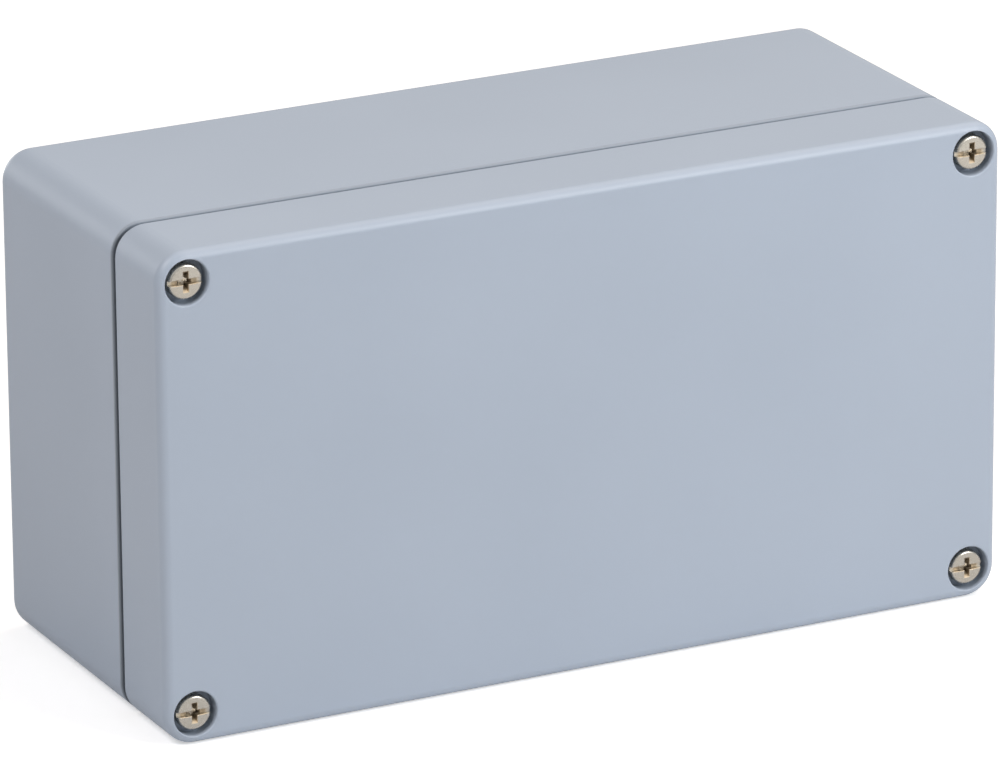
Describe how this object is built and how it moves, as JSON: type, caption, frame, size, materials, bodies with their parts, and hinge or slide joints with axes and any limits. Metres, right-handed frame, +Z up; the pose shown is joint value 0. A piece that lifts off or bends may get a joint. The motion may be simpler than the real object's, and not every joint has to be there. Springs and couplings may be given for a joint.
{
  "type": "die cast aluminium box",
  "caption": "Die cast aluminium enclosure with a gasketed lid, captive corner screws, wall mounting holes behind the seal and an earth terminal inside.",
  "frame": {"origin": "middle of the long narrow side that the box stands on", "axes": "+X along the long side, +Y from the lid towards the back, +Z up across the front face"},
  "size_m": [0.22, 0.09, 0.12],
  "materials": {
    "powder_coat": "silver grey powder coat, semi-matt, fine texture",
    "stainless_steel": "bright stainless steel, turned",
    "gasket_rubber": "black chloroprene rubber, matt",
    "natural_nylon": "natural nylon, slightly see-through"
  },
  "bodies": {
    "base": {"base_casting": "powder_coat"},
    "lid": {"lid_casting": "powder_coat", "lid_gasket": "gasket_rubber"},
    "screw_1_retainer": {"retaining_washer_1": "natural_nylon"},
    "screw_1": {"lid_screw_1": "stainless_steel"},
    "screw_2_retainer": {"retaining_washer_2": "natural_nylon"},
    "screw_2": {"lid_screw_2": "stainless_steel"},
    "screw_3_retainer": {"retaining_washer_3": "natural_nylon"},
    "screw_3": {"lid_screw_3": "stainless_steel"},
    "screw_4_retainer": {"retaining_washer_4": "natural_nylon"},
    "screw_4": {"lid_screw_4": "stainless_steel"},
    "earth_washers": {"earth_spring_washer": "stainless_steel", "earth_clamp_washer": "stainless_steel"},
    "earth_screw_body": {"earth_screw": "stainless_steel"}
  },
  "joints": [
    {"name": "lid_lift", "type": "slide", "parent": "base", "child": "lid", "axis": [0, -1, 0], "range_m": [0, 0.08]},
    {"name": "lid_screw_1_travel", "type": "slide", "parent": "lid", "child": "screw_1_retainer", "axis": [0, -1, 0], "range_m": [0, 0.0096]},
    {"name": "lid_screw_1_turn", "type": "hinge", "parent": "screw_1_retainer", "child": "screw_1", "pos_m": [-0.1025, -0.045, 0.1125], "axis": [0, -1, 0], "range_deg": [0, 4320]},
    {"name": "lid_screw_2_travel", "type": "slide", "parent": "lid", "child": "screw_2_retainer", "axis": [0, -1, 0], "range_m": [0, 0.0096]},
    {"name": "lid_screw_2_turn", "type": "hinge", "parent": "screw_2_retainer", "child": "screw_2", "pos_m": [0.1025, -0.045, 0.1125], "axis": [0, -1, 0], "range_deg": [0, 4320]},
    {"name": "lid_screw_3_travel", "type": "slide", "parent": "lid", "child": "screw_3_retainer", "axis": [0, -1, 0], "range_m": [0, 0.0096]},
    {"name": "lid_screw_3_turn", "type": "hinge", "parent": "screw_3_retainer", "child": "screw_3", "pos_m": [0.1025, -0.045, 0.0075], "axis": [0, -1, 0], "range_deg": [0, 4320]},
    {"name": "lid_screw_4_travel", "type": "slide", "parent": "lid", "child": "screw_4_retainer", "axis": [0, -1, 0], "range_m": [0, 0.0096]},
    {"name": "lid_screw_4_turn", "type": "hinge", "parent": "screw_4_retainer", "child": "screw_4", "pos_m": [-0.1025, -0.045, 0.0075], "axis": [0, -1, 0], "range_deg": [0, 4320]},
    {"name": "earth_screw_travel", "type": "slide", "parent": "base", "child": "earth_washers", "axis": [0, -1, 0], "range_m": [0, 0.005]},
    {"name": "earth_screw_turn", "type": "hinge", "parent": "earth_washers", "child": "earth_screw_body", "pos_m": [-0.09, 0.033, 0.06], "axis": [0, -1, 0], "range_deg": [0, 1800]}
  ],
  "couplings": [
    {"joint": "lid_screw_1_turn", "follows": "lid_screw_1_travel", "rad_per_m": 7854},
    {"joint": "lid_screw_2_turn", "follows": "lid_screw_2_travel", "rad_per_m": 7854},
    {"joint": "lid_screw_3_turn", "follows": "lid_screw_3_travel", "rad_per_m": 7854},
    {"joint": "lid_screw_4_turn", "follows": "lid_screw_4_travel", "rad_per_m": 7854},
    {"joint": "earth_screw_turn", "follows": "earth_screw_travel", "rad_per_m": 6283.2}
  ]
}
